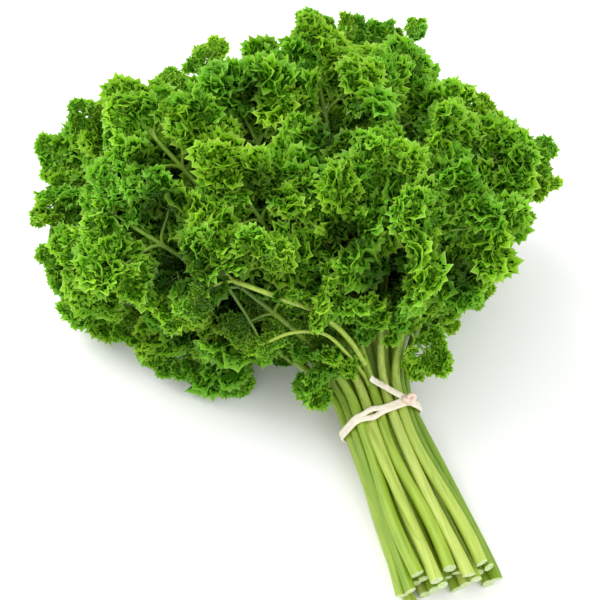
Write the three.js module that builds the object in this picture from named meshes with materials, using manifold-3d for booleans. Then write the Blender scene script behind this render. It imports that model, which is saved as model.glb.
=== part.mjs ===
// A bunch of curly parsley, tied with a rubber band and lying on a surface.
// Millimetres. +Z is up and the surface is z = 0. +Y runs along the bunch from the cut ends to the leaf tips.
// Each leaf of the plant is a stalk, which forks into a frond of curled leaflets. Everything is laid out from
// the place where the stalks are drawn together, and the whole is moved at the end to the middle of its box.
import * as THREE from "three";
import Module from "manifold-3d";
import { mergeVertices } from "three/addons/utils/BufferGeometryUtils.js";

const wasm = await Module();
wasm.setup();
const vec = (x, y, z) => new THREE.Vector3(x, y, z);

// Driving dimensions of the bundle of stalks
const STALK_ROWS = [6, 7, 6, 5]; // stalks in each row at the tie, from the surface up
const TIE_RADIUS = 2.15; // of a stalk at the tie
const BUTT_RADIUS = 2.65; // of a stalk at its cut end
const GIRTH = 0.92; // mean share of that radius which a stalk has
const GIRTH_RANGE = 0.12; // to each side of it
const GIRTH_SEED = 100;
const FORK_RADIUS = 1.5; // of a stalk where the frond begins
const TIE_PITCH = 4.7; // between the stalks of a row at the tie
const TIE_RISE = 3.95; // between the rows at the tie
const TIE_HEIGHT = 16; // of the bundle's middle at the tie, above the surface
const BUTT_Y = -78; // mean place of the cut ends
const BUTT_STAGGER = 4; // how far a cut end lies before or behind that
const BUTT_X = 5.5; // sideways lean of the cut ends
const BUTT_PITCH = 6.5; // between the stalks of a row at the cut ends
const BUTT_RISE = 5.4; // between the rows there
const SIDES = 6; // of a stalk
const PRESSED = 0.3; // depth of the flat where a stalk or a leaf rests on the surface
const LEAN = THREE.MathUtils.degToRad(6); // the bundle's climb at the tie

// Driving dimensions of the head of leaves: how far its tips reach from the tie, seen from above,
// by the angle from +Y (left is negative)
const OUTLINE = [
  [-90, 30], [-75, 44], [-67, 60], [-60, 98], [-52, 142], [-43, 170], [-32, 182], [-16, 163], [0, 165],
  [14, 168], [25, 148], [33, 133], [42, 133], [51, 120], [57, 82], [63, 58], [72, 34], [90, 25],
];
const TIP_INSET = 18; // from the outline to a frond's end, where its leaf begins
// For each row of stalks: the angles of its outermost fronds, the share of the outline that the frond's end
// reaches, a length added to that, the height of the end at the sides of the head, the rise from there to its
// middle, and how far the stalk arches above a straight line
const HEAD_ROWS = [
  { left: -43, right: 33, share: 0.95, extra: 0, height: 12, rise: 8, arch: 3 },
  { left: -49, right: 45, share: 1, extra: 0, height: 42, rise: 14, arch: 10 },
  { left: -46, right: 38, share: 0.88, extra: 0, height: 70, rise: 20, arch: 16 },
  { left: -50, right: 42, share: 0.36, extra: 34, height: 78, rise: 18, arch: 10 },
];
const HEAD_CENTRE = vec(-8, 82, 42);
const HEAD_HALF = vec(118, 94, 66);
const PLACE_JITTER = 5; // random shift of a frond's end

// Driving dimensions of a frond: where its pairs of side branches leave the stalk's line, and the branches.
// The lowest pairs grow only at some places of the top row
const STALK_END = [0.4, 0.4, 0.38, 0.28]; // for each row: share of the way from the tie to the frond's end
const PAIRS = [
  { at: 0.32, spread: 0.3, longest: 22, leaf: 16, rows: [3], places: [0, 1] },
  { at: 0.42, spread: 0.4, longest: 22, leaf: 16, rows: [3], places: [2, 3, 4] },
  { at: 0.46, spread: 0.5, longest: 26, leaf: 23, rows: [0, 1, 2] },
  { at: 0.63, spread: 0.44, longest: 25, leaf: 23, rows: [0, 1, 2, 3] },
  { at: 0.82, spread: 0.38, longest: 21, leaf: 23, rows: [0, 1, 2, 3] },
];
const END_LEAF = 22;
const RIB_END = 0.93; // where the midrib stops, and the end leaf's own stalk goes on
const RIB_RADIUS = 0.9; // there

// Driving dimensions of a leaf of three leaflets
const LEAF_THICK = 0.9;
const LEAF_SPREAD = THREE.MathUtils.degToRad(140); // to each side of its middle
const TEETH = 8;
const LEAFLET_POINTS = 5; // teeth and notches on a leaflet's edge
const DEEP_NOTCHES = [5, 9]; // which points of the edge part two leaflets
const NOTCH = 0.78; // a notch's distance from the root, beside its teeth's
const DEEP_NOTCH = 0.56; // the same, between two leaflets
const RUFFLE = 0.3; // the angle by which the teeth are waved
const CLEAR = 1.4; // room kept between two leaves
const NECK = 1.2; // from the end of a leaf's stalk to the middle of its blade
const NECK_HALF = 0.8; // half the width of that stalk

// Moves the place where the stalks meet, so that the origin is under the middle of the whole's box
const ORIGIN_SHIFT = vec(8.8, -44, 0);

// The tie: a band in two turns that meet at its sides, with a knot at its upper right and one loose end
const BAND_Y = -5;
const BAND_WIDE = 2.3;
const BAND_THICK = 1.3;
const BAND_GAP = 0.5; // between the band and the stalks
const BAND_PART = 1.75; // how far each turn lies from the band's middle line at the top
const BAND_MEET = 0.7; // the same at the sides and below
const BAND_SLANT = THREE.MathUtils.degToRad(5); // the band's turn about Z
const BAND_STEPS = 26;
const BAND_REACH = 6; // before and behind the band, where the stalks hold it
const KNOT_SIZE = vec(3.4, 2.8, 2.4);
const KNOT_RISE = 1.2; // of its middle above the band's outer face
const KNOT_TURN = THREE.MathUtils.degToRad(52); // its place round the band, from +X up
const TAIL = vec(-13, 12, 0); // from the knot to the loose end, as seen from above
const TAIL_STEPS = 6;
const TAIL_WIDE = 2.6;

const mix = THREE.MathUtils.lerp;
const along = (from, direction, length) => from.clone().addScaledVector(direction, length);

// A repeatable stream of numbers from 0 to 1
function stream(seed) {
  let state = Math.imul(seed + 1, 2654435761) >>> 0;
  const next = () => {
    state = (Math.imul(state, 1664525) + 1013904223) >>> 0;
    return state / 4294967296;
  };
  next();
  next();
  return next;
}
const around = (random) => 2 * random() - 1;

function outline(degrees) {
  const k = Math.max(1, OUTLINE.findIndex(([angle]) => angle >= degrees));
  const [a, reachA] = OUTLINE[k - 1];
  const [b, reachB] = OUTLINE[k];
  return mix(reachA, reachB, THREE.MathUtils.clamp((degrees - a) / (b - a), 0, 1));
}

// Direction out of the head at a point
function outward(point) {
  return point.clone().sub(HEAD_CENTRE).divide(HEAD_HALF).divide(HEAD_HALF).normalize();
}

// The line of each stem, from its cut end through the tie to its frond's end
function stemLine(row, place, buttRadius, random) {
  const count = STALK_ROWS[row];
  const across = place - (count - 1) / 2;
  const tie = vec(across * TIE_PITCH, 0, TIE_HEIGHT + (row - 1.5) * TIE_RISE);
  const butt = vec(
    BUTT_X + across * BUTT_PITCH + 0.4 * around(random),
    BUTT_Y + BUTT_STAGGER * around(random),
    buttRadius * Math.cos(Math.PI / SIDES) - PRESSED + row * BUTT_RISE,
  );
  const { left, right, share, extra, height, rise, arch } = HEAD_ROWS[row];
  const degrees = mix(left, right, place / (count - 1));
  const side = THREE.MathUtils.degToRad(degrees);
  const reach = share * outline(degrees) - TIP_INSET + extra + PLACE_JITTER * around(random);
  const level = height + rise * Math.cos(side) ** 2 + 0.6 * PLACE_JITTER * around(random);
  const end = vec(reach * Math.sin(side), reach * Math.cos(side), level);
  const climb = vec(0, Math.cos(LEAN), Math.sin(LEAN));
  const far = end.distanceTo(tie);
  const bend = end.clone().lerp(tie, 0.36).add(vec(0, 0, arch));
  const lower = new THREE.CubicBezierCurve3(butt, along(butt, vec(0, 1, 0), 28), along(tie, climb, -24), tie);
  const upper = new THREE.CubicBezierCurve3(tie, along(tie, climb, 0.26 * far), bend, end);
  return { lower, upper };
}

// The whole of a stem's line work: its stalk, its frond's midrib and its side branches
function layOut(row, place, index) {
  const random = stream(index);
  const buttRadius = BUTT_RADIUS * (GIRTH + GIRTH_RANGE * around(stream(GIRTH_SEED + index)));
  const { lower, upper } = stemLine(row, place, buttRadius, random);
  const end = upper.getPoint(1);
  const pitch = (end.length() * THREE.MathUtils.degToRad(HEAD_ROWS[row].right - HEAD_ROWS[row].left)) /
    (STALK_ROWS[row] - 1);
  const branches = [];
  const grows = ({ rows, places }) => rows.includes(row) && (!places || places.includes(place));
  for (const pair of PAIRS.filter(grows)) {
    const root = upper.getPoint(pair.at);
    const forward = upper.getTangent(pair.at);
    const out = outward(root);
    const side = forward.clone().cross(out).normalize();
    const half = Math.min(pair.longest, pair.spread * pitch * pair.at);
    for (const hand of [-1, 1]) {
      const tip = root
        .clone()
        .addScaledVector(side, hand * half)
        .addScaledVector(forward, 7 + 3 * around(random))
        .addScaledVector(out, 6 + 3 * around(random));
      branches.push({ root, tip, leaf: pair.leaf });
    }
  }
  return { index, row, lower, upper, buttRadius, branches, end, random };
}

// Points along a stem's lines, by which each stem knows the room it may fill
function linePoints(stem) {
  const points = [];
  for (let k = 0; k <= 16; k++) points.push(stem.lower.getPoint(k / 16));
  for (let k = 1; k <= 40; k++) points.push(stem.upper.getPoint(k / 40));
  for (const { root, tip } of stem.branches)
    for (let k = 1; k <= 6; k++) points.push(root.clone().lerp(tip, k / 6));
  return points;
}

const nearest = (point, points) => Math.sqrt(Math.min(...points.map((p) => p.distanceToSquared(point))));

// The edge of a leaf of three leaflets, from the lengths of its teeth: the notches between two leaflets are
// deep, and the teeth are waved up and down
function leafEdge({ root, forward, side, face, teeth, lifts, phase }) {
  return Array.from({ length: 2 * TEETH - 1 }, (_, k) => {
    const before = teeth[Math.floor(k / 2)];
    const after = teeth[Math.ceil(k / 2)];
    const cut = DEEP_NOTCHES.includes(k) ? DEEP_NOTCH : NOTCH;
    const length = k % 2 === 0 ? before : (cut * (before + after)) / 2;
    const angle = mix(-LEAF_SPREAD, LEAF_SPREAD, k / (2 * TEETH - 2));
    const wave = k % 2 === 0 ? RUFFLE * Math.cos((k / 2) * Math.PI + phase) : 0;
    const lift = lifts[Math.floor(k / LEAFLET_POINTS)] + wave;
    const point = root
      .clone()
      .addScaledVector(forward, length * Math.cos(angle) * Math.cos(lift))
      .addScaledVector(side, length * Math.sin(angle) * Math.cos(lift))
      .addScaledVector(face, length * Math.sin(lift));
    point.z = Math.max(point.z, LEAF_THICK / 2 - PRESSED);
    return point;
  });
}

// A leaf at the end of a branch. Each tooth grows to its full length, or until it meets a neighbour's room
function growLeaf(tip, root, size, random, own, others) {
  const branch = tip.clone().sub(root).normalize();
  const out = outward(tip);
  const side = out.clone().cross(branch).normalize();
  const face = branch.clone().cross(side).normalize();
  const roll = 0.35 * around(random);
  side.applyAxisAngle(branch, roll);
  face.applyAxisAngle(branch, roll);
  const lifts = [0, 1, 2].map(() => 0.25 + 0.45 * around(random));
  const phase = random() < 0.5 ? 0 : Math.PI;
  const leaf = { root: along(tip, branch, NECK), forward: branch, side, face, lifts, phase };
  leaf.teeth = Array.from({ length: TEETH }, () => size * (0.92 + 0.08 * around(random)));
  const free = (p) => nearest(p, others) - nearest(p, own) > CLEAR;
  for (let pass = 0; pass < 16; pass++) {
    const edge = leafEdge(leaf);
    const reaches = (p) => [1, 0.75, 0.5].every((share) => free(leaf.root.clone().lerp(p, share)));
    const crossed = edge.map((p) => !reaches(p));
    const between = edge.slice(1).map((p, k) => !free(p.clone().lerp(edge[k], 0.5)));
    const tight = edge.map((_, k) => crossed[k] || Boolean(between[k - 1]) || Boolean(between[k]));
    if (!tight.includes(true)) return leaf;
    leaf.teeth = leaf.teeth.map((length, j) =>
      tight[2 * j - 1] || tight[2 * j] || tight[2 * j + 1] ? 0.9 * length : length);
  }
  return null;
}

// A closed body from points and triangles
function body(points, triangles) {
  const geometry = new THREE.BufferGeometry().setFromPoints(points);
  geometry.setIndex(triangles);
  return geometry;
}

// A round, tapering stalk through rings, each with a centre, a direction and a radius
function stalkBody(rings, sides) {
  const points = [];
  const triangles = [];
  let across = null;
  for (const { centre, forward, radius } of rings) {
    if (!across) across = vec(0, 0, 1).addScaledVector(forward, -forward.z).normalize();
    across.addScaledVector(forward, -across.dot(forward)).normalize();
    const up = forward.clone().cross(across);
    for (let s = 0; s < sides; s++) {
      const turn = (2 * Math.PI * (s + 0.5)) / sides;
      points.push(
        along(centre, across, radius * Math.cos(turn)).addScaledVector(up, radius * Math.sin(turn)),
      );
    }
  }
  for (let k = 0; k < rings.length - 1; k++)
    for (let s = 0; s < sides; s++) {
      const a = k * sides + s;
      const b = k * sides + ((s + 1) % sides);
      triangles.push(a, b, b + sides, a, b + sides, a + sides);
    }
  const last = (rings.length - 1) * sides;
  for (let s = 1; s < sides - 1; s++) {
    triangles.push(0, s + 1, s);
    triangles.push(last, last + s, last + s + 1);
  }
  return body(points, triangles);
}

// Rings at even steps of a curve, with a radius that goes evenly from one value to another
function ringsOf(curve, from, to, steps, firstRadius, lastRadius) {
  return Array.from({ length: steps + 1 }, (_, k) => {
    const t = mix(from, to, k / steps);
    const radius = mix(firstRadius, lastRadius, k / steps);
    return { centre: curve.getPoint(t), forward: curve.getTangent(t), radius };
  });
}

// A leaf's blade and its flat stalk: two like faces, a thickness apart, and the wall round them
function leafBody(leaf, root) {
  const behind = along(leaf.root, leaf.forward, -NECK);
  const rim = [
    along(root, leaf.side, -NECK_HALF),
    along(behind, leaf.side, -NECK_HALF),
    ...leafEdge(leaf),
    along(behind, leaf.side, NECK_HALF),
    along(root, leaf.side, NECK_HALF),
  ];
  const last = rim.length;
  const faces = [];
  for (let k = 2; k < last - 1; k++) faces.push([0, k, k + 1]);
  faces.push([0, last - 1, 2], [2, last - 1, last], [2, last, 1]);
  const half = leaf.face.clone().multiplyScalar(LEAF_THICK / 2);
  const points = [leaf.root, ...rim].flatMap((p) => [p.clone().add(half), p.clone().sub(half)]);
  const triangles = [];
  for (const [a, b, c] of faces) triangles.push(2 * a, 2 * b, 2 * c, 2 * a + 1, 2 * c + 1, 2 * b + 1);
  for (let k = 1; k <= last; k++) {
    const next = (k % last) + 1;
    triangles.push(2 * k, 2 * k + 1, 2 * next + 1, 2 * k, 2 * next + 1, 2 * next);
  }
  return body(points, triangles);
}

const solid = (geometry) =>
  new wasm.Manifold(
    new wasm.Mesh({
      numProp: 3,
      vertProperties: new Float32Array(geometry.getAttribute("position").array),
      triVerts: new Uint32Array(geometry.index.array),
    }),
  );

function geometryOf(made) {
  const { vertProperties, triVerts } = made.getMesh();
  const geometry = new THREE.BufferGeometry();
  geometry.setAttribute("position", new THREE.BufferAttribute(vertProperties, 3));
  geometry.setIndex(new THREE.BufferAttribute(triVerts, 1));
  geometry.computeVertexNormals();
  return geometry;
}

function boxSolid(low, high) {
  const size = high.clone().sub(low);
  const middle = low.clone().lerp(high, 0.5);
  const box = new THREE.BoxGeometry(size.x, size.y, size.z).translate(middle.x, middle.y, middle.z);
  const corners = [];
  const seen = new Map();
  const position = box.getAttribute("position");
  const triangles = Array.from(box.index.array, (v) => {
    const key = [position.getX(v), position.getY(v), position.getZ(v)].join();
    if (!seen.has(key)) {
      seen.set(key, corners.length);
      corners.push(vec(position.getX(v), position.getY(v), position.getZ(v)));
    }
    return seen.get(key);
  });
  return solid(body(corners, triangles));
}
const aboveSurface = boxSolid(vec(-300, -300, 0), vec(300, 300, 300));

// Joins the pieces that grow together, trims what is pressed on the surface and drops loose scraps
function grow(pieces) {
  const joined = wasm.Manifold.union(pieces.map(solid)).intersect(aboveSurface).simplify(0.05);
  const bodies = joined.decompose();
  return bodies.reduce((best, one) => (one.volume() > best.volume() ? one : best));
}

// A closed body through rings of four corners, either a loop or a strip with two ends
function ribbon(rings, loop) {
  const triangles = [];
  const steps = loop ? rings.length : rings.length - 1;
  for (let k = 0; k < steps; k++)
    for (let s = 0; s < 4; s++) {
      const [a, b] = [4 * k + s, 4 * k + ((s + 1) % 4)];
      const shift = 4 * (((k + 1) % rings.length) - k);
      triangles.push(a, b + shift, a + shift, a, b, b + shift);
    }
  if (!loop) {
    const last = 4 * steps;
    triangles.push(0, 2, 1, 0, 3, 2, last, last + 1, last + 2, last, last + 2, last + 3);
  }
  return body(rings.flat(), triangles);
}

// The point of the band's inner face in a direction round the bundle, as far out as the stalks reach
function bandInner(held, turn) {
  const ray = vec(Math.cos(turn), 0, Math.sin(turn));
  const level = (p) => vec(p.x, 0, p.z - p.y * Math.tan(LEAN));
  const hold = held.map(level).reduce((best, p) => (p.dot(ray) > best.dot(ray) ? p : best));
  return { inner: along(hold, ray, TIE_RADIUS + BAND_GAP), ray };
}

// A point carried along the stalks' climb, to its distance from the tie
function slid(point, y) {
  return vec(point.x, y, point.z + y * Math.tan(LEAN));
}

// One turn of the band, a closed ring round the stalks
function bandTurn(held, hand) {
  const rings = Array.from({ length: BAND_STEPS }, (_, k) => {
    const turn = (2 * Math.PI * k) / BAND_STEPS;
    const { inner, ray } = bandInner(held, turn);
    const apart = mix(BAND_MEET, BAND_PART, Math.max(0, Math.sin(turn)) ** 2);
    const middle = BAND_Y + hand * apart + inner.x * Math.tan(BAND_SLANT);
    return [[0, -1], [1, -1], [1, 1], [0, 1]].map(([thick, wide]) =>
      slid(along(inner, ray, thick * BAND_THICK), middle + (wide * BAND_WIDE) / 2));
  });
  return ribbon(rings, true);
}

// The knot, and the loose end that lies across the top of the stalks
function bandKnot(held, near) {
  const { inner, ray } = bandInner(held, KNOT_TURN);
  const place = slid(along(inner, ray, BAND_THICK), BAND_Y + inner.x * Math.tan(BAND_SLANT));
  const sphere = new THREE.IcosahedronGeometry(1, 1).deleteAttribute("normal").deleteAttribute("uv");
  const ball = mergeVertices(sphere);
  ball.scale(KNOT_SIZE.x, KNOT_SIZE.y, KNOT_SIZE.z).translate(place.x, place.y, place.z + KNOT_RISE);
  const across = vec(-TAIL.y, TAIL.x, 0).setLength(TAIL_WIDE / 2);
  const rings = Array.from({ length: TAIL_STEPS + 1 }, (_, k) => {
    const spot = along(place, TAIL, k / TAIL_STEPS);
    const under = near.filter((p) => Math.hypot(p.x - spot.x, p.y - spot.y) < 2 * TIE_RADIUS);
    const top = Math.max(spot.z, ...under.map((p) => p.z + TIE_RADIUS + BAND_GAP));
    return [[-1, 0], [1, 0], [1, 1], [-1, 1]].map(([wide, thick]) =>
      vec(spot.x, spot.y, top + thick * BAND_THICK).addScaledVector(across, wide));
  });
  return [ball, ribbon(rings, false)];
}

const parsley = new THREE.Group();
parsley.position.copy(ORIGIN_SHIFT);
const stalkGreen = new THREE.MeshStandardMaterial({ color: 0xa6cc5e, roughness: 0.45, metalness: 0 });
const leafGreen = new THREE.MeshStandardMaterial({ color: 0x4a9420, roughness: 0.55, metalness: 0 });
const rubber = new THREE.MeshStandardMaterial({ color: 0xe6d6c0, roughness: 0.6, metalness: 0 });

const stems = [];
STALK_ROWS.forEach((count, row) => {
  for (let place = 0; place < count; place++) stems.push(layOut(row, place, stems.length));
});
const lines = stems.map(linePoints);

for (const stem of stems) {
  const number = String(stem.index + 1).padStart(2, "0");
  const lower = ringsOf(stem.lower, 0, 1, 4, stem.buttRadius, TIE_RADIUS);
  const fork = STALK_END[stem.row];
  const upper = ringsOf(stem.upper, 0, fork, 4, TIE_RADIUS, FORK_RADIUS);
  const stalkPiece = stalkBody([...lower, ...upper.slice(1)], SIDES);
  const stalk = new THREE.Mesh(geometryOf(grow([stalkPiece])), stalkGreen);
  stalk.name = `stalk_${number}`;

  const gap = 0.3 / stem.upper.getLength();
  const pieces = [stalkBody(ringsOf(stem.upper, fork + gap, RIB_END, 3, FORK_RADIUS, RIB_RADIUS), 5)];
  const endLeaf = { root: stem.upper.getPoint(RIB_END - 0.02), tip: stem.end, leaf: END_LEAF };
  const tips = [endLeaf, ...stem.branches];
  const midrib = Array.from({ length: 9 }, (_, k) => stem.upper.getPoint(mix(fork, 0.86, k / 8)));
  const strangers = lines.filter((_, k) => k !== stem.index).flat();
  tips.forEach(({ root, tip, leaf }, k) => {
    const siblings = tips.filter((_, j) => j !== k).flatMap((o) => [o.tip, o.root.clone().lerp(o.tip, 0.5)]);
    const grown = growLeaf(tip, root, leaf, stem.random, [tip, root.clone().lerp(tip, 0.6)],
      [...strangers, ...midrib, ...siblings]);
    if (grown) pieces.push(leafBody(grown, root));
  });
  const frond = new THREE.Mesh(geometryOf(grow(pieces)), leafGreen);
  frond.name = `frond_${number}`;
  parsley.add(stalk, frond);
}

const onStalks = stems.flatMap(({ lower, upper }) => [
  ...lower.getPoints(40),
  ...upper.getPoints(80).filter((p) => p.y < 2 * TAIL.y),
]);
const held = onStalks.filter((p) => Math.abs(p.y - BAND_Y) < BAND_REACH);
const nearKnot = onStalks.filter((p) => Math.abs(p.y) < BAND_REACH + TAIL.y);
const bandPieces = [bandTurn(held, -1), bandTurn(held, 1), ...bandKnot(held, nearKnot)];
const band = new THREE.Mesh(geometryOf(grow(bandPieces)), rubber);
band.name = "rubber_band";
parsley.add(band);

export default parsley;
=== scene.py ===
# A bunch of curly parsley, tied with a rubber band and lying on a pale table.
import math

import bpy
import numpy as np
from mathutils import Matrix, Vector


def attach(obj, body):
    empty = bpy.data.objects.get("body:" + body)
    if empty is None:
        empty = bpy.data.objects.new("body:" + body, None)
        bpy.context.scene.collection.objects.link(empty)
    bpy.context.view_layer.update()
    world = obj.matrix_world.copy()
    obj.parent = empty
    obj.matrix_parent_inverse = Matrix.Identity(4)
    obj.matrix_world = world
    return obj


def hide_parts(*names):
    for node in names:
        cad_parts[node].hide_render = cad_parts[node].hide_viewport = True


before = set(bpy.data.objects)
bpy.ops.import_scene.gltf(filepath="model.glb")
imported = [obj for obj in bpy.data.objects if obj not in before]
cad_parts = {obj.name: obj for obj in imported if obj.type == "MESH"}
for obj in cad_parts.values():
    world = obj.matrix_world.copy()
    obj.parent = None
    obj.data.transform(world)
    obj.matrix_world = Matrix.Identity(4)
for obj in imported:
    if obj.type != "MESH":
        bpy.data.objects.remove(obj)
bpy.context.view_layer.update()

# Stalks
# Twenty-four juicy stalks, drawn together at the tie and cut off a little aslant at the near end. Each has
# fine ridges along it, has its own green, and goes over into the midrib of its own frond.
STALK_ROWS = [6, 7, 6, 5]
TIE_RADIUS = 2.15
BUTT_RADIUS = 2.65
FORK_RADIUS = 1.5
TIE_PITCH = 4.7
TIE_RISE = 3.95
TIE_HEIGHT = 16
BUTT_Y = -78
BUTT_STAGGER = 4
BUTT_X = 5.5
BUTT_JITTER = 0.4
BUTT_PITCH = 6.5
BUTT_RISE = 5.4
GIRTH = 0.92
GIRTH_RANGE = 0.12
GIRTH_SEED = 100
CAD_SIDES = 6
PRESSED = 0.3
LEAN = math.radians(6)
# How far the ends of a stalk's curves pull it: at its cut end, before the tie, beyond it and where it bends
BUTT_PULL = 28
TIE_PULL = 24
HEAD_PULL = 0.26
BEND_SHARE = 0.36
OUTLINE_ANGLES = [-90, -75, -67, -60, -52, -43, -32, -16, 0, 14, 25, 33, 42, 51, 57, 63, 72, 90]
OUTLINE_REACHES = [30, 44, 60, 98, 142, 170, 182, 163, 165, 168, 148, 133, 133, 120, 82, 58, 34, 25]
TIP_INSET = 18
HEAD_ROWS = [
    {"left": -43, "right": 33, "share": 0.95, "extra": 0, "height": 12, "rise": 8, "arch": 3},
    {"left": -49, "right": 45, "share": 1, "extra": 0, "height": 42, "rise": 14, "arch": 10},
    {"left": -46, "right": 38, "share": 0.88, "extra": 0, "height": 70, "rise": 20, "arch": 16},
    {"left": -50, "right": 42, "share": 0.36, "extra": 34, "height": 78, "rise": 18, "arch": 10},
]
STALK_END = [0.4, 0.4, 0.38, 0.28]
PLACE_JITTER = 5
LEVEL_JITTER = 3
ORIGIN_SHIFT = np.array([8.8, -44, 0])
MM = 0.001
UP = np.array([0, 0, 1.0])
STALK_SIDES = 20
STALK_STEPS = 25
RIDGES = 7
RIDGE_DEPTH = 0.045
CUT_SLOPE = 0.22
TONE_SEED = 83359
TONES = np.random.default_rng(TONE_SEED).uniform(0, 1, sum(STALK_ROWS))
BEND = 1.8
BEND_SEED = 300


def unit(vectors):
    vectors = np.asarray(vectors, float)
    return vectors / np.linalg.norm(vectors, axis=-1, keepdims=True)


def stream(seed):
    state = (seed + 1) * 2654435761 & 0xFFFFFFFF
    for warm_up in range(2):
        state = (state * 1664525 + 1013904223) & 0xFFFFFFFF
    while True:
        state = (state * 1664525 + 1013904223) & 0xFFFFFFFF
        yield state / 2**32


def around(draws):
    return 2 * next(draws) - 1


def mix(a, b, share):
    return a + (b - a) * share


def bezier(corners, t):
    a, b, c, d = corners
    t = np.asarray(t, float)[..., None]
    return (1 - t) ** 3 * a + 3 * (1 - t) ** 2 * t * b + 3 * (1 - t) * t**2 * c + t**3 * d


def heading(corners, t):
    a, b, c, d = corners
    t = np.asarray(t, float)[..., None]
    return unit((1 - t) ** 2 * (b - a) + 2 * (1 - t) * t * (c - b) + t**2 * (d - c))


def smooth_line(points, steps):
    points = np.array(points, float)
    ends = np.concatenate([2 * points[:1] - points[1:2], points, 2 * points[-1:] - points[-2:-1]])
    line = []
    for a, b, c, d in zip(ends, ends[1:], ends[2:], ends[3:]):
        line.append(bezier((b, b + (c - a) / 6, c - (d - b) / 6, c), np.arange(steps) / steps))
    return np.concatenate(line + [points[-1:]])


def lay_stem(row, place, number):
    # the course of one stalk from its cut end to the tie and on to the tip of its frond
    draws = stream(number)
    count = STALK_ROWS[row]
    head = HEAD_ROWS[row]
    across = place - (count - 1) / 2
    tie = np.array([across * TIE_PITCH, 0, TIE_HEIGHT + (row - 1.5) * TIE_RISE])
    butt_x = BUTT_X + across * BUTT_PITCH + BUTT_JITTER * around(draws)
    butt_y = BUTT_Y + BUTT_STAGGER * around(draws)
    girth = GIRTH + GIRTH_RANGE * around(stream(GIRTH_SEED + number))
    butt_z = girth * BUTT_RADIUS * math.cos(math.pi / CAD_SIDES) - PRESSED + row * BUTT_RISE
    butt = np.array([butt_x, butt_y, butt_z])
    degrees = mix(head["left"], head["right"], place / (count - 1))
    side = math.radians(degrees)
    outline = float(np.interp(degrees, OUTLINE_ANGLES, OUTLINE_REACHES))
    reach = head["share"] * outline - TIP_INSET + head["extra"] + PLACE_JITTER * around(draws)
    level = head["height"] + head["rise"] * math.cos(side) ** 2 + LEVEL_JITTER * around(draws)
    end = np.array([reach * math.sin(side), reach * math.cos(side), level])
    climb = np.array([0, math.cos(LEAN), math.sin(LEAN)])
    far = np.linalg.norm(end - tie)
    bend = mix(end, tie, BEND_SHARE) + head["arch"] * UP
    return {
        "row": row,
        "place": place,
        "number": number,
        "lower": (butt, butt + [0, BUTT_PULL, 0], tie - TIE_PULL * climb, tie),
        "upper": (tie, tie + HEAD_PULL * far * climb, bend, end),
        "end": end,
        "girth": girth,
        "draws": draws,
    }


def grid_faces(columns, rows, closed):
    wrap = columns if closed else columns + 1
    k, s = np.meshgrid(np.arange(rows), np.arange(columns), indexing="ij")
    right = (s + 1) % wrap
    corners = [k * wrap + s, k * wrap + right, (k + 1) * wrap + right, (k + 1) * wrap + s]
    places = [(s, k), (s + 1, k), (s + 1, k + 1), (s, k + 1)]
    faces = np.stack(corners, -1).reshape(-1, 4)
    uv = np.stack([np.stack([u / columns, v / rows], -1) for u, v in places], -2).reshape(-1, 4, 2)
    return faces, uv


def tube(line, radii, sides, ridges=0.0, tone=0.5, tips=None):
    # a round skin along a line, with ridges along it if asked, kept above the table
    ahead = unit(np.gradient(line, axis=0))
    across = np.zeros_like(ahead)
    start = UP if abs(ahead[0, 2]) < 0.95 else np.array([1.0, 0, 0])
    for k in range(len(line)):
        start = unit(start - ahead[k] * (start @ ahead[k]))
        across[k] = start
    up = np.cross(ahead, across)
    turn = 2 * np.pi * np.arange(sides) / sides
    size = 1 + ridges * np.cos(RIDGES * turn)
    ring = across[:, None] * np.cos(turn)[:, None] + up[:, None] * np.sin(turn)[:, None]
    points = line[:, None] + ring * (np.asarray(radii)[:, None] * size)[..., None]
    faces, uv = grid_faces(sides, len(line) - 1, True)
    points[..., 2] = np.maximum(points[..., 2], 0)
    tips = np.zeros(len(line)) if tips is None else np.asarray(tips)
    return {
        "points": points.reshape(-1, 3),
        "faces": [faces],
        "uv": [uv[None]],
        "tip": np.repeat(tips, sides),
        "tone": np.full(len(line) * sides, tone),
        "deep": np.zeros(len(line) * sides),
        "slot": 0,
    }


def make_piece(name, parts, materials):
    # one mesh from several parts, with each tube, twig or fan in its own cell of the texture map
    cells = sum(len(part["uv"][0]) for part in parts)
    across = math.ceil(math.sqrt(cells))
    points, faces, maps, slots = [], [], [], []
    count = 0
    cell = 0
    for part in parts:
        points.append(part["points"])
        own = np.arange(cell, cell + len(part["uv"][0]))
        corner = np.stack([own % across, own // across], -1)[:, None, None]
        for corners, uv in zip(part["faces"], part["uv"]):
            faces += (corners + count).tolist()
            maps.append(((corner + 0.03 + 0.94 * uv) / across).reshape(-1, 2))
            slots.append(np.full(len(corners), part["slot"]))
        count += len(part["points"])
        cell += len(own)
    mesh = bpy.data.meshes.new(name)
    places = (np.concatenate(points) + ORIGIN_SHIFT) * MM
    mesh.from_pydata(places.tolist(), [], faces)
    for key in ("tip", "tone", "deep"):
        values = np.concatenate([part[key] for part in parts]).astype(np.float32)
        mesh.attributes.new(key, "FLOAT", "POINT").data.foreach_set("value", values)
    uv = mesh.uv_layers.new(name="OFBake")
    uv.data.foreach_set("uv", np.concatenate(maps).astype(np.float32).ravel())
    mesh.polygons.foreach_set("material_index", np.concatenate(slots).astype(np.int32))
    mesh.polygons.foreach_set("use_smooth", np.ones(len(mesh.polygons), bool))
    for material in materials:
        mesh.materials.append(material)
    mesh.update()
    piece = bpy.data.objects.new(name, mesh)
    bpy.context.scene.collection.objects.link(piece)
    return piece


def new_material(name):
    material = bpy.data.materials.new(name)
    material.use_nodes = True
    return material, material.node_tree.nodes, material.node_tree.links


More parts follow.
